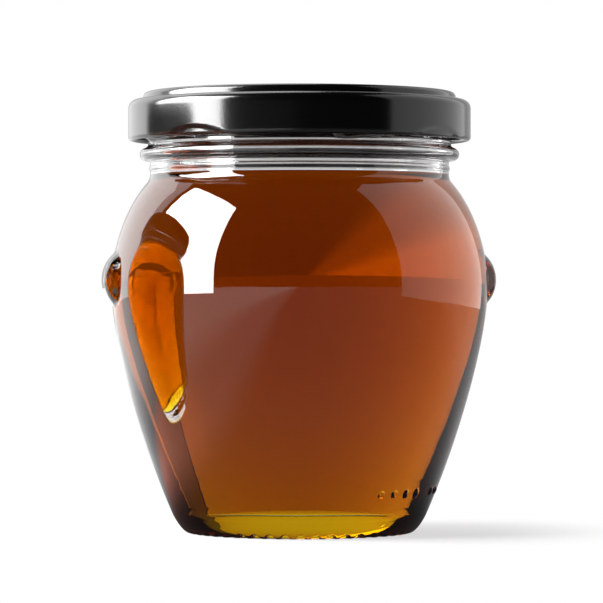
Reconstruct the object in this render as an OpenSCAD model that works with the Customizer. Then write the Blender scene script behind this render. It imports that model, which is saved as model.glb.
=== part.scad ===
// Honey jar: a pot-bellied glass jar with two small moulded ears, a black
// twist-off cap and a filling of honey. The origin is the middle of the
// bearing ring, the ears lie on the X axis and +Z is up.

/* [Glass body] */
// Radius at the widest ring of the belly
belly_r = 36.4; // [34:0.1:38]
// Height of the widest ring
belly_z = 47.5; // [45:0.5:50]
// Radius at the corner where the wall meets the rounded heel
heel_r = 24.4; // [23.5:0.1:25.5]
// Height of that corner
heel_z = 3.3; // [3:0.1:4]
// Outer radius of the flat ring that the jar stands on
foot_r = 21.4; // [20.5:0.1:22]
// Radial width of the flat ring
foot_w = 2.4; // [2:0.1:3]
// Rise of the hollow in the middle of the underside
punt_h = 1.4; // [0.5:0.1:2]
// Thickness of the wall, measured level
wall = 2.3; // [2:0.1:2.8]
// Height of the inner floor at its edge
floor_z = 5.2; // [4:0.1:6]
// Rise of the inner floor from its edge to the middle
floor_dome = 2.8; // [1:0.1:4]
// Number of grip notches moulded round the heel
notch_count = 48; // [36:2:60]

/* [Neck] */
// Radius of the plain band under the bead
neck_r = 28.9; // [28.5:0.1:29.5]
// Radius of the mouth inside
mouth_r = 26.9; // [26:0.1:27.2]
// Height of the sealing rim
rim_z = 84.4; // [84:0.1:85]
// Middle height of the bead that the cap stops above
bead_z = 73.05; // [72.5:0.05:73.5]
// Radius over the bead
bead_r = 30.9; // [30.5:0.1:31.2]
// Radius of the finish between bead and rim
finish_r = 29.3; // [29:0.1:29.5]
// Radius over the four slanted thread ridges
thread_r = 31.2; // [30.8:0.1:31.4]

/* [Ears] */
// Distance from the axis to the tip of an ear
ear_reach = 38.2; // [38:0.1:40]
// Radius of an ear's rounded outline
ear_r = 6.6; // [6:0.1:7.5]
// Height of the middle of an ear
ear_z = 48.8; // [48:0.1:51]
// Width of an ear along the belly
ear_w = 14.4; // [13:0.2:16]
// Radius of the rounding between an ear's tip and its flanks
ear_edge = 5; // [4:0.1:6]
// Height of the eye pressed into each flank of an ear
eye_h = 8.6; // [6:0.2:9]
// Width of that eye along the flank
eye_w = 3.8; // [2.5:0.1:4]
// Depth of that eye
eye_d = 0.9; // [0.5:0.1:1.2]

/* [Honey] */
// Height of the honey's surface
honey_z = 69; // [60:0.5:72]

/* [Cap] */
// Outer radius of the cap's skirt
cap_r = 33.1; // [32.8:0.1:33.5]
// Height of the cap's lower edge
cap_z = 75.6; // [75.4:0.1:76]
// Thickness of the cap with its lacquer and lining
cap_t = 0.6; // [0.5:0.05:0.7]
// Radius over the raised panel
panel_r = 30.2; // [29.8:0.1:30.4]
// Drop from the panel to the groove round it
groove_d = 1.7; // [1.4:0.1:1.8]

/* [Hidden] */
$fn = 120;

NECK_FOOT = [29.4, 67.6]; // where the shoulder runs into the neck
MOUTH_FOOT = [27.6, 66.2]; // the same place on the inside
FLOOR_R = 20; // where the dome of the inner floor starts
FLOOR_CORNER = 5; // height of the rounded corner between wall and floor
FRONT = -98; // bearing of the middle of the jar's front
cap_top = rim_z + cap_t;

// One point of a cubic curve from a to d, drawn towards b and c
function cubic(a, b, c, d, t) =
    pow(1 - t, 3) * a + 3 * pow(1 - t, 2) * t * b + 3 * (1 - t) * t * t * c + pow(t, 3) * d;

// The whole curve, without its last point, so that curves can be chained
function curve(a, b, c, d, steps) = [for (i = [0:steps - 1]) cubic(a, b, c, d, i / steps)];

// Points of an arc about a centre, without the last one
function arc(centre, r, from, to, steps = 8) =
    [for (i = [0:steps - 1]) let (a = from + (to - from) * i / steps) centre + r * [cos(a), sin(a)]];

// Outline of the glass outside, from the middle of the underside to the mouth
function outside() = concat(
    [[0, punt_h]],
    curve([1, punt_h], [9, punt_h], [15, 0.5], [foot_r - foot_w, 0], 8),
    [[foot_r - foot_w, 0]],
    curve([foot_r, 0], [foot_r + 1.2, 0.2], [heel_r - 0.7, heel_z - 1.3], [heel_r, heel_z], 6),
    curve([heel_r, heel_z], [30.8, 17.8], [belly_r, belly_z - 9.8], [belly_r, belly_z], 24),
    curve([belly_r, belly_z], [belly_r, belly_z + 7.3], [33.6, 62.9], NECK_FOOT, 18),
    curve(NECK_FOOT, NECK_FOOT + [-0.3, 0.35], [neck_r, 68.5], [neck_r, 69.3], 4),
    [[neck_r, 69.7], [neck_r + 0.15, 70], [neck_r + 0.15, 70.5], [neck_r, 70.8]],
    [[neck_r, 71.4], [bead_r - 1.2, 71.8]],
    arc([bead_r - 1.2, bead_z - 0.1], 1.2, -80, 80),
    [[finish_r, 74.6], [finish_r, rim_z - 1.6]],
    arc([finish_r - 1, rim_z - 1], 1, 0, 90, 6),
    [[finish_r - 1.2, rim_z]]
);

// Outline of the space inside, from the middle of the floor to a given height
function inside_wall() = concat(
    [[0, floor_z + floor_dome]],
    curve([1, floor_z + floor_dome], [7, floor_z + floor_dome], [13, floor_z + 0.4], [FLOOR_R, floor_z], 10),
    curve([FLOOR_R, floor_z], [FLOOR_R + 3, floor_z], [24.1, floor_z + 1.2], [24.4, floor_z + FLOOR_CORNER], 8),
    curve([24.4, floor_z + FLOOR_CORNER], [28.9, 20.6], [belly_r - wall, belly_z - 9.8],
        [belly_r - wall, belly_z], 20),
    curve([belly_r - wall, belly_z], [belly_r - wall, belly_z + 7], [31.8, 61.4], MOUTH_FOOT, 16),
    curve(MOUTH_FOOT, MOUTH_FOOT + [-0.4, 0.5], [mouth_r, 67.4], [mouth_r, 68.4], 4)
);

// A ring between two bearings, with the given half outline
module ring_part(from, to) {
    rotate([0, 0, from]) rotate_extrude(angle = to - from) children();
}

// One slanted ridge of the twist thread, low at its left end
module thread_ridge() {
    rotate([7, 0, 0]) rotate([0, 0, -35]) rotate_extrude(angle = 70)
        polygon([[finish_r - 0.8, -0.9], [thread_r - 0.6, -0.75], [thread_r, -0.3], [thread_r, 0.3],
            [thread_r - 0.6, 0.75], [finish_r - 0.8, 0.9]]);
}

// A lens standing upright, wide across X and thick along Y
module lens(height, width, thick) {
    lens_r = (height * height + width * width) / (4 * width);
    rotate([90, 0, 0]) intersection() {
        translate([lens_r - width / 2, 0, 0]) cylinder(r = lens_r, h = thick, center = true);
        translate([width / 2 - lens_r, 0, 0]) cylinder(r = lens_r, h = thick, center = true);
    }
}

// One ear: a rounded disc on edge, half sunk in the belly, with a blind eye in each flank
module ear() {
    difference() {
        translate([ear_reach - ear_r, 0, ear_z]) rotate([90, 0, 0])
            rotate_extrude() polygon(concat(
                [[0, -ear_w / 2]],
                arc([ear_r - ear_edge, ear_edge - ear_w / 2], ear_edge, -90, 0, 6),
                arc([ear_r - ear_edge, ear_w / 2 - ear_edge], ear_edge, 0, 90, 6),
                [[ear_r - ear_edge, ear_w / 2], [0, ear_w / 2]]
            ));
        for (turn = [-1, 1])
            translate([ear_reach - 2.1, turn * 6.2, ear_z]) rotate([0, 0, turn * -60])
                lens(eye_h, eye_w, 2 * eye_d);
    }
}

// Half-round notches in the edge of the foot, which leave the flat ring whole
module heel_notches() {
    for (i = [0:notch_count - 1])
        rotate([0, 0, i * 360 / notch_count]) translate([foot_r - 0.9, 0, 0]) rotate([0, 90, 0])
            cylinder(r = 0.85, h = 4, $fn = 24);
}

// Six small mould dots low on the wall, with one place left out of the row
module mould_dots() {
    for (step = [0, 1, 2, 3, 5, 6])
        rotate([0, 0, FRONT + 35.3 + 7 * step])
            translate([26.55, 0, 8.3]) sphere(r = 0.75, $fn = 24);
}

// The glass, open at the mouth
module jar() {
    color([0.85, 0.9, 0.88, 0.4]) difference() {
        union() {
            rotate_extrude() polygon(concat(outside(), [[0, rim_z]]));
            for (turn = [0:3])
                rotate([0, 0, FRONT - 40 + 90 * turn]) translate([0, 0, 78.3]) thread_ridge();
            for (turn = [0, 180])
                rotate([0, 0, turn]) ear();
            mould_dots();
        }
        rotate_extrude() polygon(concat(
            inside_wall(), [[mouth_r, rim_z - 0.7], [27.6, rim_z + 0.1], [0, rim_z + 0.1]]));
        heel_notches();
    }
}

// The honey, solid from the floor of the jar to its level
module honey() {
    color([0.55, 0.22, 0.02]) intersection() {
        rotate_extrude() polygon(concat(inside_wall(), [[mouth_r, rim_z - 2], [0, rim_z - 2]]));
        cylinder(r = belly_r, h = honey_z);
    }
}

// Half outline of the cap's outside, from the middle of the panel to the lower edge
function cap_outside() = concat(
    [[0, cap_top]],
    arc([panel_r - 0.9, cap_top - 0.9], 0.9, 90, 0, 6),
    [[panel_r, cap_top - groove_d + 0.15], [panel_r + 0.25, cap_top - groove_d]],
    arc([cap_r - 1.6, cap_top - 3.1], 1.6, 100, 0, 8),
    [[cap_r, cap_top - 3.1]],
    arc([cap_r - 0.7, cap_z + 0.7], 0.7, 0, -90, 5)
);

// Half outline of the hollow under the cap, back up to the middle of the panel
function cap_inside() = concat(
    arc([cap_r - 0.7, cap_z + 0.7], 0.7, -90, -180, 5),
    [[cap_r - 1.4, cap_z + 1.1], [cap_r - cap_t, cap_z + 1.9]],
    arc([cap_r - 1.6, cap_top - 3.1], 1.6 - cap_t, 0, 90, 6),
    [[31, cap_top - groove_d - cap_t], [panel_r - cap_t, cap_top - groove_d - cap_t]],
    arc([panel_r - 1.2, cap_top - 1.2], 1.2 - cap_t, 0, 90, 6),
    [[panel_r - 1.2, rim_z], [0, rim_z]]
);

// An inward lug behind each dent of the skirt
module cap_lug() {
    ring_part(-13, 13)
        polygon([[30.5, cap_z + 0.5], [31, cap_z], [32.4, cap_z], [32.7, cap_z + 0.4],
            [32.7, cap_z + 1.7], [31, cap_z + 1.1]]);
}

// The arched dent that pressing a lug leaves in the skirt
module lug_dent() {
    dent_r = 16.5;
    difference() {
        translate([30, 0, cap_z + 1.8 - dent_r]) rotate([0, 90, 0]) cylinder(r = dent_r, h = 6);
        translate([0, 0, cap_z - 40]) cylinder(r = cap_r - 0.3, h = 60);
    }
}

// The painted steel cap, resting on the rim
module cap() {
    color([0.06, 0.06, 0.06]) difference() {
        union() {
            rotate_extrude() polygon(concat(cap_outside(), cap_inside()));
            for (turn = [0:3]) rotate([0, 0, FRONT - 37 + 90 * turn]) cap_lug();
        }
        for (turn = [0:3]) rotate([0, 0, FRONT - 37 + 90 * turn]) lug_dent();
    }
}

jar();
honey();
cap();
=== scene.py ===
# %% [markdown]
# # A honey jar, as a lesson in turned glass
# The real thing is four materials in one hand's width: pressed glass, honey, lacquered tin and light. Glass has no
# colour of its own, so it is the shape of its two skins, and what stands round it, that make it look like glass.
# Every size below is in metres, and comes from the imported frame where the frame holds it.

# %% Tools
import math

import bpy
import numpy as np
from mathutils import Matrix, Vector


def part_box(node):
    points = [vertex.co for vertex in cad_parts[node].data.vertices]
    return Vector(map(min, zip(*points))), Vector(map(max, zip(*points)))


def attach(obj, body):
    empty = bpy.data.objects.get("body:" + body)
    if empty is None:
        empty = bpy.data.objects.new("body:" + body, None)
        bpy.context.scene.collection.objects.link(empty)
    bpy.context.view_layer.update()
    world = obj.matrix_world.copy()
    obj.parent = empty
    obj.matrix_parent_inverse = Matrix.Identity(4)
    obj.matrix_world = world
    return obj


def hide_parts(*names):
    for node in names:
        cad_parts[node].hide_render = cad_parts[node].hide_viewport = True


MM = 0.001


# %% [markdown]
# ## The frame
# The construction model is loaded first and never moved. Its boxes give the belly's width, the height of the rim,
# the level of the honey and the size of the cap, so that every piece made here takes the place of a solid one.

# %% Load the frame
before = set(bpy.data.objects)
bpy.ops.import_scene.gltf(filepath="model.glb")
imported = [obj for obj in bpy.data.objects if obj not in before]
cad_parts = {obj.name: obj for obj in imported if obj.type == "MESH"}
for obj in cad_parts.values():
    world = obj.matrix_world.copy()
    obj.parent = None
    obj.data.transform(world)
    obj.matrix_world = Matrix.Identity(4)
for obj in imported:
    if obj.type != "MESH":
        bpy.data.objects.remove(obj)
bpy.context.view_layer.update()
jar_low, jar_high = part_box("jar")
honey_low, honey_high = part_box("honey")
cap_low, cap_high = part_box("cap")

BELLY_R = jar_high[1]
EAR_REACH = jar_high[0]
RIM_Z = jar_high[2]
HONEY_Z = honey_high[2]
CAP_R = cap_high[0]
CAP_Z = cap_low[2]
CAP_TOP = cap_high[2]
FRONT = math.radians(-98)
print("belly", BELLY_R, "rim", RIM_Z, "honey", HONEY_Z, "cap", CAP_R, CAP_Z, CAP_TOP)


# %% [markdown]
# ## Outlines
# A turned shape is one outline spun about its axis. The outline is drawn as a few curves, each between two points
# with two handles, and as arcs where the real mould has a round. Drawing it in curves instead of listing points
# means that each stretch can be made finer or coarser without changing the shape.

# %% Curves and arcs
def curve(a, b, c, d, steps):
    """Points from a to d, drawn towards b and c, without the last one."""
    points = []
    for i in range(steps):
        t = i / steps
        k = ((1 - t) ** 3, 3 * (1 - t) ** 2 * t, 3 * (1 - t) * t * t, t ** 3)
        points.append(tuple(sum(w * p[n] for w, p in zip(k, (a, b, c, d))) for n in (0, 1)))
    return points


def arc(centre, radius, start, end, steps):
    """Points along an arc from one bearing to another, without the last one."""
    points = []
    for i in range(steps):
        angle = math.radians(start + (end - start) * i / steps)
        points.append((centre[0] + radius * math.cos(angle), centre[1] + radius * math.sin(angle)))
    return points


def line(a, b, steps):
    """Evenly spaced points from a to b, without the last one."""
    return [(a[0] + (b[0] - a[0]) * i / steps, a[1] + (b[1] - a[1]) * i / steps) for i in range(steps)]


# %% [markdown]
# ## Turning
# By hand this is the oldest way to model glass: one vertex is drawn out into an outline with extrude, and the
# outline is spun round the axis. It is spun in 336 steps, seven for each of the 48 notches of the heel, because
# light bends at each face of clear glass, and a coarse skin would show as facets.

# %% Select nothing, turn a piece
def select_nothing():
    if bpy.context.object and bpy.context.object.mode != "OBJECT":
        bpy.ops.object.mode_set(mode="OBJECT")
    bpy.ops.object.select_all(action="DESELECT")


def turn(name, outline, steps):
    """Draw an outline of (radius, height) points in millimetres and spin it into a closed skin."""
    select_nothing()
    bpy.ops.mesh.primitive_plane_add(size=MM)
    piece = bpy.context.object
    piece.name = name
    bpy.ops.object.mode_set(mode="EDIT")
    bpy.ops.mesh.select_all(action="SELECT")
    bpy.ops.mesh.merge(type="CENTER")
    here = (0.0, 0.0)
    for number, (r, z) in enumerate(outline):
        move = ((r - here[0]) * MM, 0, (z - here[1]) * MM)
        if number == 0:
            bpy.ops.transform.translate(value=move)
        else:
            bpy.ops.mesh.extrude_region_move(TRANSFORM_OT_translate={"value": move})
        here = (r, z)
    bpy.ops.mesh.select_all(action="SELECT")
    bpy.ops.mesh.spin(steps=steps, angle=math.tau, center=(0, 0, 0), axis=(0, 0, 1))
    bpy.ops.mesh.select_all(action="SELECT")
    bpy.ops.mesh.remove_doubles(threshold=0.002 * MM)
    bpy.ops.mesh.normals_make_consistent(inside=False)
    bpy.ops.object.mode_set(mode="OBJECT")
    bpy.ops.object.shade_smooth()
    print(name, len(piece.data.polygons), "faces")
    return piece


# %% Shape a turned piece
def places(piece):
    """The piece's vertices as rows of x, y, z."""
    co = np.empty(len(piece.data.vertices) * 3)
    piece.data.vertices.foreach_get("co", co)
    return co.reshape(-1, 3)


def put_back(piece, co):
    piece.data.vertices.foreach_set("co", co.ravel())
    piece.data.update()


def refine(piece, chosen, cuts=1):
    """Cut the faces whose centres pass the test into smaller ones."""
    select_nothing()
    bpy.context.view_layer.objects.active = piece
    piece.select_set(True)
    bpy.ops.object.mode_set(mode="EDIT")
    bpy.ops.mesh.select_mode(type="FACE")
    bpy.ops.mesh.select_all(action="DESELECT")
    bpy.ops.object.mode_set(mode="OBJECT")
    for face in piece.data.polygons:
        face.select = bool(chosen(face.center))
    bpy.ops.object.mode_set(mode="EDIT")
    bpy.ops.mesh.subdivide(number_cuts=cuts)
    bpy.ops.mesh.select_mode(type="VERT")
    bpy.ops.object.mode_set(mode="OBJECT")
    bpy.ops.object.shade_smooth()


def smoothstep(low, high, x):
    t = np.clip((x - low) / (high - low), 0, 1)
    return t * t * (3 - 2 * t)


# %% [markdown]
# ## The glass
# The outline runs from the middle of the hollow underside, over the ring that the jar stands on, up the belly, over
# the bead and the thread to the sealing rim, and back down inside to the floor. Both skins are one piece, as in the
# real jar, so that the wall has its true thickness everywhere and light bends twice on its way through.

# %% Outline of the glass
foot_r = 21.4
heel = (24.4, 3.3)
belly = (BELLY_R / MM, 47.5)
neck_foot = (29.4, 67.6)
neck_r = 28.9
bead_r = 30.9
mouth_r = 26.9
finish_r = 29.3
wall = 2.3
floor_z = 5.2
dome = 2.8
rim_z = RIM_Z / MM
level = HONEY_Z / MM

outside = (
    curve((0, 1.4), (9, 1.4), (15, 0.5), (foot_r - 2.4, 0), 10)
    + line((foot_r - 2.4, 0), (foot_r - 0.9, 0), 1)
    + line((foot_r - 0.9, 0), (foot_r, 0), 2)
    + curve((foot_r, 0), (foot_r + 1.2, 0.2), (heel[0] - 0.7, heel[1] - 1.3), heel, 12)
    + curve(heel, (30.8, 17.8), (belly[0], belly[1] - 9.8), belly, 50)
    + curve(belly, (belly[0], belly[1] + 7.3), (33.6, 62.9), neck_foot, 34)
    + curve(neck_foot, (29.1, 67.95), (neck_r, 68.5), (neck_r, 69.3), 6)
    + line((neck_r, 69.3), (neck_r, 69.8), 1)
    + curve((neck_r, 69.8), (neck_r + 0.22, 70.0), (neck_r + 0.22, 70.5), (neck_r, 70.7), 6)
    + line((neck_r, 70.7), (neck_r, 71.4), 3)
    + curve((neck_r, 71.4), (neck_r, 71.75), (bead_r - 1.6, 71.8), (bead_r - 1.2, 71.8), 4)
    + arc((bead_r - 1.2, 73.0), 1.2, -90, 70, 14)
    + curve((bead_r - 0.8, 74.12), (finish_r + 0.3, 74.3), (finish_r, 74.5), (finish_r, 75.0), 5)
    + line((finish_r, 75.0), (finish_r, rim_z - 1.0), 18)
    + arc((finish_r - 1, rim_z - 1), 1, 0, 90, 5)
    + [(finish_r - 1.2, rim_z)]
)
inside = (
    arc((27.6, rim_z - 0.7), 0.7, 90, 180, 4)
    + line((mouth_r, rim_z - 0.7), (mouth_r, level + 0.05), 8)
    + line((mouth_r, level + 0.05), (mouth_r, level), 1)
    + line((mouth_r, level), (mouth_r, 68.4), 1)
    + curve((mouth_r, 68.4), (mouth_r, 67.4), (27.2, 66.7), (27.6, 66.2), 4)
    + curve((27.6, 66.2), (31.8, 61.4), (belly[0] - wall, belly[1] + 7), (belly[0] - wall, belly[1]), 20)
    + curve((belly[0] - wall, belly[1]), (belly[0] - wall, belly[1] - 9.8), (28.9, 20.6), (24.4, floor_z + 5), 24)
    + curve((24.4, floor_z + 5), (24.1, floor_z + 1.2), (23, floor_z), (20, floor_z), 12)
    + curve((20, floor_z), (13, floor_z + 0.4), (7, floor_z + dome), (0, floor_z + dome), 12)
    + [(0, floor_z + dome)]
)
print(len(outside), "points outside,", len(inside), "inside")

# %% Turn the glass
TURNS = 336
glass = turn("glass_jar", outside + inside, TURNS)


# %% [markdown]
# ## Ears
# On each side of the belly the mould has a little ear, the remains of a handle: a ridge that leans out of the wall
# and carries an eye-shaped hollow on each flank. It could be a separate lump pushed into the wall, but glass shows
# every inner face, so the skin itself is pulled out instead. First the skin is cut finer where the ear will be.

# %% Pull the ears out of the belly
ear_z = 48.8
ear_core = EAR_REACH / MM - 6.6


def ear_size(y):
    """Radius of the ear's round outline at a distance from its middle plane."""
    past_flat = np.clip(np.abs(y) - 2.2, 0, 5)
    return np.where(np.abs(y) < 7.2, 1.6 + np.sqrt(25 - past_flat ** 2), 0)


def near_ear(centre):
    x, y, z = (v / MM for v in centre)
    return abs(x) > 33 and abs(y) < 9.6 and abs(z - ear_z) < 7.4 and math.hypot(x, y) > 34.6


refine(glass, near_ear, cuts=1)
co = places(glass) / MM
x, y, z = co.T
radius = np.hypot(x, y)
zone = (np.abs(x) > 33) & (np.abs(y) < 11) & (np.abs(z - ear_z) < 8) & (radius > 34.6)
size = ear_size(y)
rise = size ** 2 - (z - ear_z) ** 2
tip = ear_core + np.sqrt(np.maximum(rise, 0))
gap = np.where(rise > 0, tip - np.abs(x), -3.0)
blend = 0.5
lift = np.where(gap > blend, gap, np.where(gap > -blend, (gap + blend) ** 2 / (4 * blend), 0))
new_x = np.abs(x) + lift
eye_turn = math.radians(30)
eye_h, eye_w = 8.6, 3.8
from_tip = new_x - EAR_REACH / MM + 2.1
eye_across = (np.abs(y) - 6.2) * math.cos(eye_turn) - from_tip * math.sin(eye_turn)
eye_r = (eye_h ** 2 + eye_w ** 2) / (4 * eye_w)
eye_edge = np.hypot(np.abs(eye_across) + eye_r - eye_w / 2, z - ear_z) - eye_r
dimple = 0.95 * smoothstep(0.1, -0.3, eye_edge)
new_x = new_x - dimple
co[:, 0] = np.where(zone, np.sign(x) * new_x, x)
put_back(glass, co * MM)
print("ears reach", np.abs(co[:, 0]).max(), "mm")


# %% [markdown]
# ## Thread, notches and dots
# Four slanted ridges carry the cap, 48 half-round notches grip the line that made the jar, and six small dots are
# the mould's count. All three are relief on the skin, so each is a rule that says how far the skin moves.

# %% Raise the slanted thread
co = places(glass) / MM
radius = np.hypot(co[:, 0], co[:, 1])
bearing = np.arctan2(co[:, 1], co[:, 0])
for quarter in range(4):
    middle = FRONT + math.radians(-40 + 90 * quarter)
    across = (bearing - middle + math.pi) % math.tau - math.pi
    height = 78.3 + 30 * math.tan(math.radians(7)) * np.sin(across)
    along = smoothstep(math.radians(37), math.radians(33), np.abs(across))
    ridge = 1.8 * smoothstep(1.15, 0.45, np.abs(co[:, 2] - height)) * along
    outer = (radius > finish_r - 0.6) & (co[:, 2] > 74.9) & (co[:, 2] < 82.9)
    scale = np.where(outer, (radius + ridge) / np.maximum(radius, 1), 1)
    co[:, 0] *= scale
    co[:, 1] *= scale
put_back(glass, co * MM)

# %% Press the notches into the heel
def in_heel(centre):
    x, y, z = (v / MM for v in centre)
    return z < 1.5 and 20.3 < math.hypot(x, y) < 24.5


refine(glass, in_heel, cuts=1)
co = places(glass) / MM
radius = np.hypot(co[:, 0], co[:, 1])
bearing = np.arctan2(co[:, 1], co[:, 0])
pitch = math.tau / 48
off = ((bearing + pitch / 2) % pitch - pitch / 2) * radius
roof = np.sqrt(np.maximum(0.88 ** 2 - off ** 2, 0)) * smoothstep(20.5, 20.9, radius)
lower = (radius > 20.4) & (co[:, 2] < 1.6) & (radius < 24.5)
co[:, 2] = np.where(lower, np.maximum(co[:, 2], roof), co[:, 2])
put_back(glass, co * MM)

# %% Raise the mould dots
dots = [FRONT + math.radians(35.3 + 7 * step) for step in (0, 1, 2, 3, 5, 6)]
dot_places = [Vector((26.55 * math.cos(a), 26.55 * math.sin(a), 8.3)) for a in dots]


def near_dot(centre):
    here = centre / MM
    return any((here - place).length < 1.3 for place in dot_places)


refine(glass, near_dot, cuts=3)
co = places(glass) / MM
for place in dot_places:
    away = np.linalg.norm(co - np.array(place), axis=1)
    radius = np.hypot(co[:, 0], co[:, 1])
    out = 0.4 * np.sqrt(np.clip(1 - (away / 0.8) ** 2, 0, 1)) * (radius > 25.3)
    co[:, 0] *= 1 + out / np.maximum(radius, 1)
    co[:, 1] *= 1 + out / np.maximum(radius, 1)
put_back(glass, co * MM)
glass_faces = sum(len(face.vertices) - 2 for face in glass.data.polygons)
print("glass has", glass_faces, "triangles")


# %% [markdown]
# ## The honey
# Honey wets the glass, so there is no film of air between them. Its skin reaches a tenth of a millimetre into the
# wall for that reason. Where its surface meets the glass it climbs a little, as every liquid does.

# %% Turn the honey
bite = 0.1
honey_outline = (
    [(0, floor_z + dome - bite)]
    + curve((0.5, floor_z + dome - bite), (7, floor_z + dome - bite), (13, floor_z + 0.4 - bite),
            (20, floor_z - bite), 12)
    + curve((20, floor_z - bite), (23 + bite, floor_z - bite), (24.1 + bite, floor_z + 1.2),
            (24.4 + bite, floor_z + 5), 14)
    + curve((24.4 + bite, floor_z + 5), (28.9 + bite, 20.6), (belly[0] - wall + bite, belly[1] - 9.8),
            (belly[0] - wall + bite, belly[1]), 30)
    + curve((belly[0] - wall + bite, belly[1]), (belly[0] - wall + bite, belly[1] + 7), (31.8 + bite, 61.4),
            (27.6 + bite, 66.2), 26)
    + curve((27.6 + bite, 66.2), (27.2 + bite, 66.7), (mouth_r + bite, 67.4), (mouth_r + bite, 68.4), 5)
    + [(mouth_r + bite, 68.4), (mouth_r + bite, level)]
    + curve((mouth_r - 0.02, level - 0.02), (mouth_r - 0.2, level - 0.3), (mouth_r - 0.8, level - 0.45),
            (mouth_r - 2.5, level - 0.5), 8)
    + [(mouth_r - 5, level - 0.5), (12, level - 0.5), (0, level - 0.5)]
)
honey = turn("honey_fill", honey_outline, 192)


# %% [markdown]
# ## The cap
# A twist-off cap is one disc of tinplate, pressed: a raised panel with a rounded edge, a groove, a shoulder, a
# straight skirt and a curl rolled inwards at the bottom. Four lugs are pressed into the curl to catch the thread,
# and each leaves an arched dent outside.

# %% Turn the cap
cap_r = CAP_R / MM
cap_top = CAP_TOP / MM
cap_z = CAP_Z / MM
panel_r = 30.2
sheet = 0.6
cap_outline = (
    line((0, cap_top), (panel_r - 0.9, cap_top), 8)
    + arc((panel_r - 0.9, cap_top - 0.9), 0.9, 90, 0, 8)
    + line((panel_r, cap_top - 0.9), (panel_r, cap_top - 1.4), 1)
    + curve((panel_r, cap_top - 1.4), (panel_r, cap_top - 1.7), (panel_r + 0.3, cap_top - 1.72),
            (31, cap_top - 1.6), 5)
    + arc((cap_r - 1.6, cap_top - 3.1), 1.6, 100, 0, 12)
    + line((cap_r, cap_top - 3.1), (cap_r, cap_z + 0.7), 16)
    + arc((cap_r - 0.7, cap_z + 0.7), 0.7, 0, -180, 12)
    + line((cap_r - 1.4, cap_z + 0.7), (cap_r - 1.4, cap_z + 1.1), 1)
    + line((cap_r - 1.4, cap_z + 1.1), (cap_r - sheet, cap_z + 1.9), 3)
    + line((cap_r - sheet, cap_z + 1.9), (cap_r - sheet, cap_top - 3.1), 4)
    + arc((cap_r - 1.6, cap_top - 3.1), 1.6 - sheet, 0, 90, 5)
    + [(31, cap_top - 1.7 - sheet), (panel_r - sheet, cap_top - 1.7 - sheet)]
    + arc((panel_r - 1.2, cap_top - 1.2), 1.2 - sheet, 0, 90, 4)
    + [(panel_r - 1.2, rim_z), (10, rim_z), (0, rim_z)]
)
cap = turn("twist_cap", cap_outline, 288)

# %% Press the lugs
co = places(cap) / MM
radius = np.hypot(co[:, 0], co[:, 1])
bearing = np.arctan2(co[:, 1], co[:, 0])
for quarter in range(4):
    middle = FRONT + math.radians(-37 + 90 * quarter)
    across = ((bearing - middle + math.pi) % math.tau - math.pi) * radius
    arch = np.hypot(across, co[:, 2] - (cap_z + 1.8 - 16.5)) - 16.5
    skirt = (co[:, 2] < cap_z + 3) & (np.abs(across) < 12) & (radius > cap_r - 0.75)
    dent = 0.38 * smoothstep(0.25, -0.45, arch) * skirt
    curl = (co[:, 2] < cap_z + 1.2) & (radius <= cap_r - 0.75)
    lug = 0.9 * smoothstep(8.0, 6.0, np.abs(across)) * curl
    scale = 1 - (dent + lug) / np.maximum(radius, 1)
    co[:, 0] *= scale
    co[:, 1] *= scale
put_back(cap, co * MM)


# %% [markdown]
# ## Finishes
# Glass and honey are clear, so their looks come from how much they bend and swallow light. Honey swallows blue at
# once, green soon and red slowly, which is why a thin edge is yellow and the deep middle is brown.

# %% Nodes
def new_material(name):
    mat = bpy.data.materials.new(name)
    mat.use_nodes = True
    mat.node_tree.nodes.clear()
    out = mat.node_tree.nodes.new("ShaderNodeOutputMaterial")
    return mat, mat.node_tree, out


def node(tree, kind, **values):
    made = tree.nodes.new("ShaderNode" + kind)
    for key, value in values.items():
        if key in made.inputs:
            made.inputs[key].default_value = value
        else:
            setattr(made, key, value)
    return made


def graded(tree, source, low, high, first, last, smooth=True):
    """Turn a socket's value into one that goes from first at low to last at high."""
    made = node(tree, "MapRange", interpolation_type="SMOOTHSTEP" if smooth else "LINEAR")
    for key, value in {"From Min": low, "From Max": high, "To Min": first, "To Max": last}.items():
        made.inputs[key].default_value = value
    tree.links.new(source, made.inputs["Value"])
    return made.outputs["Result"]


def sums(tree, operation, *sources):
    """A Math node fed with sockets and plain numbers."""
    made = node(tree, "Math", operation=operation)
    for number, source in enumerate(sources):
        if isinstance(source, float):
            made.inputs[number].default_value = source
        else:
            tree.links.new(source, made.inputs[number])
    return made.outputs[0]


def one_of(tree, share, first, second):
    """Mix two shaders by a share."""
    made = node(tree, "MixShader")
    tree.links.new(share, made.inputs["Fac"])
    tree.links.new(first, made.inputs[1])
    tree.links.new(second, made.inputs[2])
    return made.outputs[0]


def unevenness(tree, shader, scale, detail, strength, depth):
    """Shallow waves on a surface, laid out in the piece's own space."""
    place = node(tree, "TexCoord")
    waves = node(tree, "TexNoise", Scale=scale, Detail=detail)
    bump = node(tree, "Bump", Strength=strength, Distance=depth)
    tree.links.new(place.outputs["Object"], waves.inputs["Vector"])
    tree.links.new(waves.outputs["Fac"], bump.inputs["Height"])
    tree.links.new(bump.outputs["Normal"], shader.inputs["Normal"])


def mask_attribute(piece, name, values):
    """Mark the vertices of a piece with a number that its material reads."""
    layer = piece.data.attributes.new(name, "FLOAT", "POINT")
    layer.data.foreach_set("value", values.astype(np.float32))


# %% [markdown]
# Honey bends light nearly as much as glass does, so on a real jar the skin between them hardly shows, and here both
# get the same value. The glass below the level is marked as wetted inside, where it has no reflection of its own.

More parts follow.
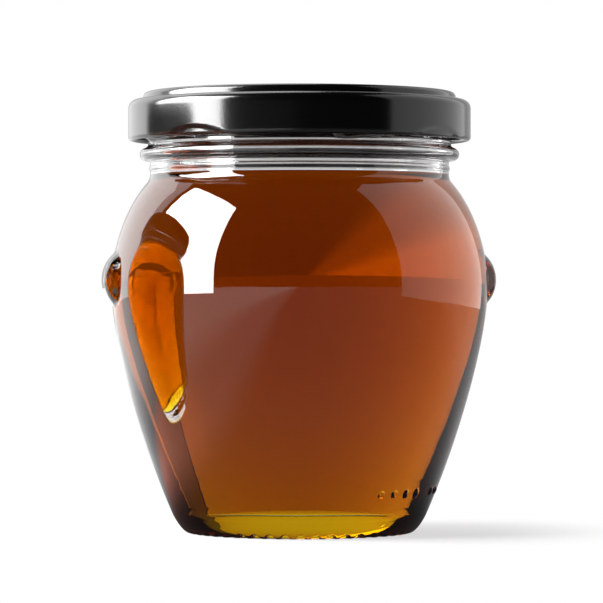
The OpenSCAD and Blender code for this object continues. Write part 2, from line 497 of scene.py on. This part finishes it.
# %% Glass
co = places(glass) / MM
radius = np.hypot(co[:, 0], co[:, 1])
bounds_z = np.array([p[1] for p in reversed(inside)])
bounds_r = np.array([p[0] for p in reversed(inside)])
order = np.argsort(bounds_z, kind="stable")
wall_in = np.interp(co[:, 2], bounds_z[order], bounds_r[order])
on_inside = (radius < wall_in + 0.5) & (co[:, 2] > floor_z - 0.3)
mask_attribute(glass, "wetted", (on_inside & (co[:, 2] < level + 0.01)).astype(float))

REFRACTION = 1.515
WHITE = (1, 1, 1, 1)
glass_mat, tree, out = new_material("flint_glass")
clear = node(tree, "BsdfGlass", IOR=REFRACTION, Roughness=0.0, Color=WHITE)
joined = node(tree, "BsdfRefraction", IOR=REFRACTION, Roughness=0.0, Color=WHITE)
wet = node(tree, "Attribute", attribute_name="wetted")
glass_skin = one_of(tree, wet.outputs["Fac"], clear.outputs[0], joined.outputs[0])
tree.links.new(glass_skin, out.inputs["Surface"])
# Pressed glass is never quite even: broad, shallow waves bend what is seen through it.
unevenness(tree, clear, 95.0, 1.0, 1.0, 0.00006)
glass.data.materials.append(glass_mat)
print("wetted glass reaches", level, "mm")

# %% [markdown]
# The honey shines only where air lies on it. Below, it meets the glass, so its skin there bends light and reflects
# none. Its colour is in its depth: a volume that swallows blue at once and red slowly.

# %% Honey
co = places(honey) / MM
radius = np.hypot(co[:, 0], co[:, 1])
mask_attribute(honey, "free", ((co[:, 2] > level - 0.6) & (radius < mouth_r - 0.01)).astype(float))
honey_mat, tree, out = new_material("dark_honey")
surface = node(tree, "BsdfGlass", IOR=REFRACTION, Roughness=0.0, Color=WHITE)
joined = node(tree, "BsdfRefraction", IOR=REFRACTION, Roughness=0.0, Color=WHITE)
free = node(tree, "Attribute", attribute_name="free")
honey_skin = one_of(tree, free.outputs["Fac"], joined.outputs[0], surface.outputs[0])
tree.links.new(honey_skin, out.inputs["Surface"])
# How fast red, green and blue fade on their way through the honey, for each metre.
RED_LOSS, GREEN_LOSS, BLUE_LOSS = 20.7, 51.9, 350.0
absorb = node(tree, "VolumeAbsorption", Density=BLUE_LOSS)
absorb.inputs["Color"].default_value = (1 - RED_LOSS / BLUE_LOSS, 1 - GREEN_LOSS / BLUE_LOSS, 0, 1)
tree.links.new(absorb.outputs[0], out.inputs["Volume"])
unevenness(tree, surface, 120.0, 1.0, 1.0, 0.00003)
honey.data.materials.append(honey_mat)
print("green fades", round(GREEN_LOSS / RED_LOSS, 1), "times as fast as red")

# %% [markdown]
# The cap is tinplate under black lacquer. The lacquer is smooth but not a mirror: it has a fine orange-peel grain,
# which softens the edges of what it reflects.

# %% Lacquered tin
cap_mat, tree, out = new_material("black_lacquer")
paint = node(tree, "BsdfPrincipled", Roughness=0.15, IOR=1.5)
paint.inputs["Base Color"].default_value = (0.0008, 0.0008, 0.0008, 1)
unevenness(tree, paint, 2600.0, 2.0, 0.12, 0.00006)
tree.links.new(paint.outputs[0], out.inputs["Surface"])
cap.data.materials.append(cap_mat)
print("cap has", len(cap.data.polygons), "faces")


# %% [markdown]
# ## The studio
# A clear thing is a picture of its surroundings, so the room is built as carefully as the jar. Behind stands a wide
# wall of light, brighter at its left. At the left a tall bright box stands behind a second jar of the same kind,
# whose amber reflection lies in the belly. At the right a white card stands close by. In front the room is dark.

# %% Cards that shine
AWAY = Vector((-math.cos(FRONT), -math.sin(FRONT), 0))
RIGHT = Vector((AWAY.y, -AWAY.x, 0))


def spot(right, away, up):
    """A place in the room, counted to the right, away from the camera and up."""
    return RIGHT * right + AWAY * away + Vector((0, 0, up))


def shining_card(name, size, place, towards, strength):
    """A flat white card that shines towards a point and is left out of the picture itself."""
    select_nothing()
    bpy.ops.mesh.primitive_plane_add(size=1)
    card = bpy.context.object
    card.name = name
    card.scale = (size[0], size[1], 1)
    card.location = place
    card.rotation_euler = (Vector(towards) - Vector(place)).to_track_quat("Z", "Y").to_euler()
    mat, tree, out = new_material(name)
    light = node(tree, "Emission", Strength=strength, Color=WHITE)
    tree.links.new(light.outputs[0], out.inputs["Surface"])
    card.data.materials.append(mat)
    card.visible_camera = False
    card.visible_shadow = False
    return card


def across_card(card, low, high, first, last, smooth=False):
    """Let a card's glow change from one side to the other."""
    tree = card.data.materials[0].node_tree
    place = node(tree, "TexCoord")
    parts = node(tree, "SeparateXYZ")
    tree.links.new(place.outputs["Object"], parts.inputs["Vector"])
    glow = graded(tree, parts.outputs["X"], low, high, first, last, smooth)
    tree.links.new(glow, tree.nodes["Emission"].inputs["Strength"])


# %% Set the cards up
wall_of_light = shining_card("wall_of_light", (3.2, 2.0), spot(-0.336, 1.255, 0.98), spot(0, 0, 0.98), 3.0)
across_card(wall_of_light, -0.42, 0.12, 1.6, 0.68, smooth=True)
side_wall = shining_card("side_wall", (1.3, 2.0), spot(1.30, 0.75, 0.98), spot(0, 0, 0.98), 0.18)
card_right = shining_card("card_right", (0.162, 0.204), spot(0.1, 0.011, 0.138), spot(0, 0.011, 0.138), 1.5)
across_card(card_right, -0.5, 0.5, 1.7, 0.9)
glow_left = shining_card("glow_left", (0.72, 0.8), spot(-0.54, 0.72, 0.39), spot(0, 0, 0.39), 3.0)
across_card(glow_left, -0.5, 0.5, 3.6, 1.4)
glow_left.visible_transmission = False
print("the wall shines across", tuple(wall_of_light.scale)[:2], "m")

# %% [markdown]
# The tall box is made twice. One card gives its mirror image and its light on the table. The other stands in the
# same place and is seen only through the second jar, with a low card on the table under it. Without that, the box
# would also burn a red spot through both jars into an ear, which a screen between the jars would stop in a studio.

# %% The bright box and what shines through the second jar
BOX_SIZE, BOX_PLACE, BOX_TOWARDS = (0.64, 0.8), spot(-0.59, -0.104, 0.37), spot(0, 0, 0.37)
SKINS_OF_ONE_JAR = 7.5
box_left = shining_card("box_left", BOX_SIZE, BOX_PLACE, BOX_TOWARDS, 24.0)
box_left.visible_transmission = False
low_left = shining_card("low_left", (0.24, 0.3), spot(-0.32, -0.03, 0.001), spot(-0.32, -0.03, 1), 20.0)
box_through = shining_card("box_through", BOX_SIZE, BOX_PLACE, BOX_TOWARDS, 24.0)
for card, bright in ((box_through, 24.0), (low_left, 20.0)):
    card.visible_glossy = False
    card.visible_diffuse = False
    tree = card.data.materials[0].node_tree
    rays = node(tree, "LightPath")
    mirrored_once = sums(tree, "COMPARE", rays.outputs["Glossy Depth"], 1.0, 0.5)
    through_one_jar = sums(tree, "LESS_THAN", rays.outputs["Transmission Depth"], SKINS_OF_ONE_JAR)
    share = sums(tree, "MULTIPLY", mirrored_once, through_one_jar)
    glow = graded(tree, share, 0.0, 1.0, 0.5, bright, smooth=False)
    tree.links.new(glow, tree.nodes["Emission"].inputs["Strength"])
print("the box stands", round(BOX_PLACE.length, 3), "m from the jar")

# %% [markdown]
# The second jar shares the meshes of the first. It stands at the left as part of the room: the camera doesn't see
# it, and it casts no shadow, but the first jar's glass mirrors it.

# %% A second jar beside it
SECOND_JAR = spot(-0.094, -0.013, 0)
for piece in (glass, honey, cap):
    select_nothing()
    bpy.context.view_layer.objects.active = piece
    piece.select_set(True)
    bpy.ops.object.duplicate(linked=True)
    twin = bpy.context.object
    twin.name = "beside_" + piece.name
    twin.location = SECOND_JAR
    twin.visible_camera = False
    twin.visible_shadow = False
print("the second jar stands", round(SECOND_JAR.length, 3), "m away")

# %% [markdown]
# The table is pale. What it sends into the glass is painted as a glow, so that each part can be set by itself: dark
# under and before the jar, brighter behind and at the left, and warm where light has come through honey. The
# picture itself sees plain white with a soft shadow, which fades into the white of the room.

# %% Table
select_nothing()
bpy.ops.mesh.primitive_plane_add(size=6)
table = bpy.context.object
table.name = "table"
mat, tree, out = new_material("pale_table")
rays = node(tree, "LightPath")
place = node(tree, "TexCoord")
turned = node(tree, "VectorRotate", rotation_type="Z_AXIS", Angle=-(FRONT + math.pi / 2))
parts = node(tree, "SeparateXYZ")
tree.links.new(place.outputs["Object"], turned.inputs["Vector"])
tree.links.new(turned.outputs["Vector"], parts.inputs["Vector"])
far = node(tree, "VectorMath", operation="LENGTH")
tree.links.new(place.outputs["Object"], far.inputs[0])
behind = graded(tree, parts.outputs["Y"], -0.03, 0.12, 0.25, 0.5)
near_left = graded(tree, parts.outputs["X"], -0.03, -0.06, 0.0, 0.4)
far_left = graded(tree, parts.outputs["X"], -0.07, -0.16, 0.0, 0.7)
clear_of_jar = graded(tree, far.outputs["Value"], 0.015, 0.07, 0.15, 1.0)
leftward = sums(tree, "ADD", near_left, far_left)
glow = node(tree, "Emission")
tree.links.new(sums(tree, "MULTIPLY_ADD", behind, clear_of_jar, leftward), glow.inputs["Strength"])

# %% The painted warm light between the jars
# Painted light: the table's glow turns warm where the box's light, come through the second jar's honey, would fall.
offset = node(tree, "VectorMath", operation="DISTANCE")
tree.links.new(turned.outputs["Vector"], offset.inputs[0])
offset.inputs[1].default_value = (-0.066, -0.002, 0)
warm_light_share = graded(tree, offset.outputs["Value"], 0.05, 0.02, 0.0, 1.0)
painted_warm_light = node(tree, "Mix", data_type="RGBA")
painted_warm_light.inputs[6].default_value = WHITE
painted_warm_light.inputs[7].default_value = (3.0, 1.2, 0.9, 1)
tree.links.new(warm_light_share, painted_warm_light.inputs["Factor"])
tree.links.new(painted_warm_light.outputs[2], glow.inputs["Color"])

# %% The table as the picture sees it
paint = node(tree, "BsdfDiffuse")
paint.inputs["Color"].default_value = (0.2, 0.2, 0.2, 1)
base = node(tree, "Emission", Strength=0.62)
lit = node(tree, "AddShader")
tree.links.new(paint.outputs[0], lit.inputs[0])
tree.links.new(base.outputs[0], lit.inputs[1])
white = node(tree, "Emission", Strength=1.0, Color=WHITE)
fade = graded(tree, far.outputs["Value"], 0.036, 0.07, 0.0, 1.0)
seen = one_of(tree, fade, lit.outputs[0], white.outputs[0])
whole = one_of(tree, rays.outputs["Is Camera Ray"], glow.outputs[0], seen)
tree.links.new(whole, out.inputs["Surface"])
table.data.materials.append(mat)
print("table is", table.dimensions.x, "m wide")


# %% [markdown]
# ## Into the frame
# Each finished piece takes the place of one construction piece and rides on the same body.

# %% Join the pieces to the frame
for piece, name, slot in ((glass, "jar", "glass"), (honey, "honey", "honey"), (cap, "cap", "cap")):
    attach(piece, "root")
    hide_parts(name)
    print(piece.name, "stands for", name)


# %% [markdown]
# ## Light and camera
# The sky is white in the picture and nearly black in the glass, as a white backdrop in a dark studio is. One soft
# lamp overhead makes the shadow. The camera stands far off with a long lens, level with the middle of the belly.

# %% Sky
world = bpy.data.worlds.new("studio")
bpy.context.scene.world = world
world.use_nodes = True
tree = world.node_tree
tree.nodes.clear()
out = tree.nodes.new("ShaderNodeOutputWorld")
rays = node(tree, "LightPath")
backdrop = node(tree, "Background", Strength=1.0, Color=WHITE)
room = node(tree, "Background", Strength=0.02, Color=WHITE)
sky = one_of(tree, rays.outputs["Is Camera Ray"], room.outputs[0], backdrop.outputs[0])
tree.links.new(sky, out.inputs["Surface"])

# %% Overhead light
lamp = bpy.data.lights.new("overhead", "AREA")
lamp.shape = "DISK"
lamp.size = 0.9
lamp.energy = 6
top = bpy.data.objects.new("overhead", lamp)
bpy.context.collection.objects.link(top)
top.location = (-0.25, 0.55, 1.1)
top.rotation_euler = (-top.location).to_track_quat("-Z", "Y").to_euler()

# %% Camera
DISTANCE = 0.680
EYE = 0.0446
FIELD = 0.1167
camera = bpy.data.cameras.new("camera")
camera.sensor_width = 36
camera.lens = camera.sensor_width * DISTANCE / FIELD
camera.clip_start = 0.01
camera.shift_x = 0.0033
eye = bpy.data.objects.new("camera", camera)
bpy.context.collection.objects.link(eye)
eye.location = (DISTANCE * math.cos(FRONT), DISTANCE * math.sin(FRONT), EYE)
eye.rotation_euler = (Vector((0, 0, EYE)) - eye.location).to_track_quat("-Z", "Y").to_euler()
bpy.context.scene.camera = eye
bpy.context.scene.view_settings.view_transform = "Standard"
bpy.context.scene.cycles.max_bounces = 24
bpy.context.scene.cycles.transmission_bounces = 24
bpy.context.scene.cycles.glossy_bounces = 8
print("lens", round(camera.lens, 1), "mm")
